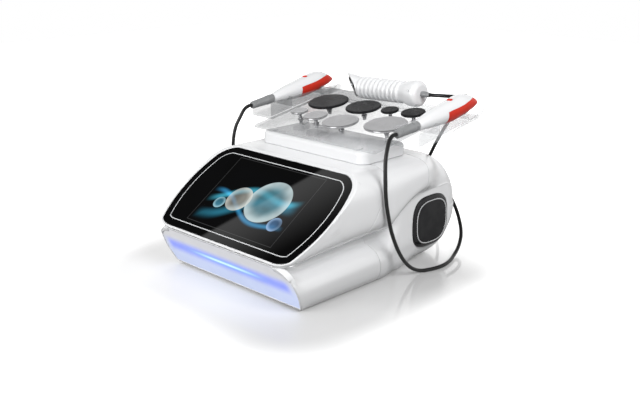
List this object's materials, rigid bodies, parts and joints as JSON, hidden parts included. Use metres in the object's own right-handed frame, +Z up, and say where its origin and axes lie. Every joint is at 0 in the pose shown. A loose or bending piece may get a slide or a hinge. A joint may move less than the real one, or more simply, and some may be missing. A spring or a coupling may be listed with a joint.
{
  "type": "tecar therapy machine",
  "caption": "Desktop radio-frequency therapy machine with a tilted touch screen, lit front, clear tray of disc electrodes and corded handpieces in side cradles.",
  "frame": {"origin": "on the table, under the middle of the machine without its leads", "axes": "+X to the operator's right, +Y to the back, +Z up"},
  "size_m": [0.376, 0.4693, 0.2857],
  "materials": {
    "white_gloss": "glossy painted",
    "frosted_panel": "frosted, lit from behind",
    "light_strip": "diffusing",
    "black_glass": "polished, printed black behind",
    "black_gloss": "glossy",
    "silver_trim": "satin plated",
    "polished_steel": "polished",
    "dark_coating": "smooth satin coating",
    "clear_acrylic": "clear polished",
    "red_rubber": "satin moulded",
    "grey_plastic": "satin",
    "lead_rubber": "smooth satin",
    "black_plastic": "fine texture",
    "sheet_metal": "plain sheet",
    "bare_aluminium": "extruded",
    "circuit_board": "solder mask"
  },
  "bodies": {
    "housing": {"upper_shell": "white_gloss", "middle_shell": "white_gloss", "base_shell": "white_gloss", "rear_shell": "white_gloss", "tray_plinth": "white_gloss", "front_panel": "frosted_panel", "light_bar": "light_strip", "screen_glass": "black_glass", "left_pod_cap": "black_gloss", "right_pod_cap": "black_gloss", "left_lead_socket": "black_gloss", "twin_lead_socket": "black_gloss", "left_pod_ring": "silver_trim", "right_pod_ring": "silver_trim", "tray_deck": "clear_acrylic", "left_cradle": "clear_acrylic", "right_cradle": "clear_acrylic", "grip_rest": "clear_acrylic", "left_lead": "lead_rubber", "right_lead": "lead_rubber", "grip_lead": "lead_rubber", "left_plug": "lead_rubber", "right_plug": "lead_rubber", "grip_plug": "lead_rubber", "foot_front_left": "lead_rubber", "foot_front_right": "lead_rubber", "foot_rear_left": "lead_rubber", "foot_rear_right": "lead_rubber", "display_module": "black_plastic", "rear_panel": "black_plastic", "inlet_body": "black_plastic", "fan_frame": "black_plastic", "power_supply": "sheet_metal", "heat_sink": "bare_aluminium", "main_board": "circuit_board", "rf_board": "circuit_board"},
    "left_handpiece": {"left_hand_shell": "white_gloss", "left_hand_bumper": "red_rubber", "left_hand_lamp": "black_gloss", "left_hand_collar": "grey_plastic"},
    "right_handpiece": {"right_hand_shell": "white_gloss", "right_hand_bumper": "red_rubber", "right_hand_lamp": "black_gloss", "right_hand_collar": "grey_plastic"},
    "left_push_button": {"left_hand_button": "red_rubber"},
    "right_push_button": {"right_hand_button": "red_rubber"},
    "grip": {"grip_shell": "white_gloss", "grip_plate": "black_gloss", "grip_collar": "grey_plastic"},
    "rocker": {"power_rocker": "black_gloss"},
    "drawer": {"fuse_drawer": "black_plastic"},
    "rotor": {"fan_rotor": "black_plastic"},
    "black_disc_70": {"black_electrode_70": "dark_coating"},
    "black_disc_60": {"black_electrode_60": "dark_coating"},
    "black_disc_30": {"black_electrode_30": "dark_coating"},
    "black_disc_40": {"black_electrode_40": "dark_coating"},
    "steel_disc_30": {"steel_electrode_30": "polished_steel"},
    "steel_disc_40": {"steel_electrode_40": "polished_steel"},
    "steel_disc_60": {"steel_electrode_60": "polished_steel"},
    "steel_disc_70": {"steel_electrode_70": "polished_steel"}
  },
  "joints": [
    {"name": "left_handpiece_lift", "type": "slide", "parent": "housing", "child": "left_handpiece", "axis": [0, 0, 1], "range_m": [0, 0.06]},
    {"name": "left_button_press", "type": "slide", "parent": "left_handpiece", "child": "left_push_button", "axis": [0, 0, -1], "range_m": [0, 0.0012], "stiffness_N_per_m": 600},
    {"name": "right_handpiece_lift", "type": "slide", "parent": "housing", "child": "right_handpiece", "axis": [0, 0, 1], "range_m": [0, 0.06]},
    {"name": "right_button_press", "type": "slide", "parent": "right_handpiece", "child": "right_push_button", "axis": [0, 0, -1], "range_m": [0, 0.0012], "stiffness_N_per_m": 600},
    {"name": "grip_lift", "type": "slide", "parent": "housing", "child": "grip", "axis": [0, 0, 1], "range_m": [0, 0.06]},
    {"name": "black_disc_70_lift", "type": "slide", "parent": "housing", "child": "black_disc_70", "axis": [0, -0.1736, 0.9848], "range_m": [0, 0.025]},
    {"name": "black_disc_60_lift", "type": "slide", "parent": "housing", "child": "black_disc_60", "axis": [0, -0.1736, 0.9848], "range_m": [0, 0.025]},
    {"name": "black_disc_30_lift", "type": "slide", "parent": "housing", "child": "black_disc_30", "axis": [0, -0.1736, 0.9848], "range_m": [0, 0.025]},
    {"name": "black_disc_40_lift", "type": "slide", "parent": "housing", "child": "black_disc_40", "axis": [0, -0.1736, 0.9848], "range_m": [0, 0.025]},
    {"name": "steel_disc_30_lift", "type": "slide", "parent": "housing", "child": "steel_disc_30", "axis": [0, -0.1736, 0.9848], "range_m": [0, 0.025]},
    {"name": "steel_disc_40_lift", "type": "slide", "parent": "housing", "child": "steel_disc_40", "axis": [0, -0.1736, 0.9848], "range_m": [0, 0.025]},
    {"name": "steel_disc_60_lift", "type": "slide", "parent": "housing", "child": "steel_disc_60", "axis": [0, -0.1736, 0.9848], "range_m": [0, 0.025]},
    {"name": "steel_disc_70_lift", "type": "slide", "parent": "housing", "child": "steel_disc_70", "axis": [0, -0.1736, 0.9848], "range_m": [0, 0.025]},
    {"name": "power_rocker_tilt", "type": "hinge", "parent": "housing", "child": "rocker", "pos_m": [0.006, 0.1903, 0.1], "axis": [1, 0, 0], "range_deg": [-18, 0]},
    {"name": "fuse_drawer_slide", "type": "slide", "parent": "housing", "child": "drawer", "axis": [0, 1, 0], "range_m": [0, 0.012]},
    {"name": "fan_spin", "type": "hinge", "parent": "housing", "child": "rotor", "pos_m": [-0.036, 0.1807, 0.084], "axis": [0, 1, 0], "continuous": true}
  ]
}
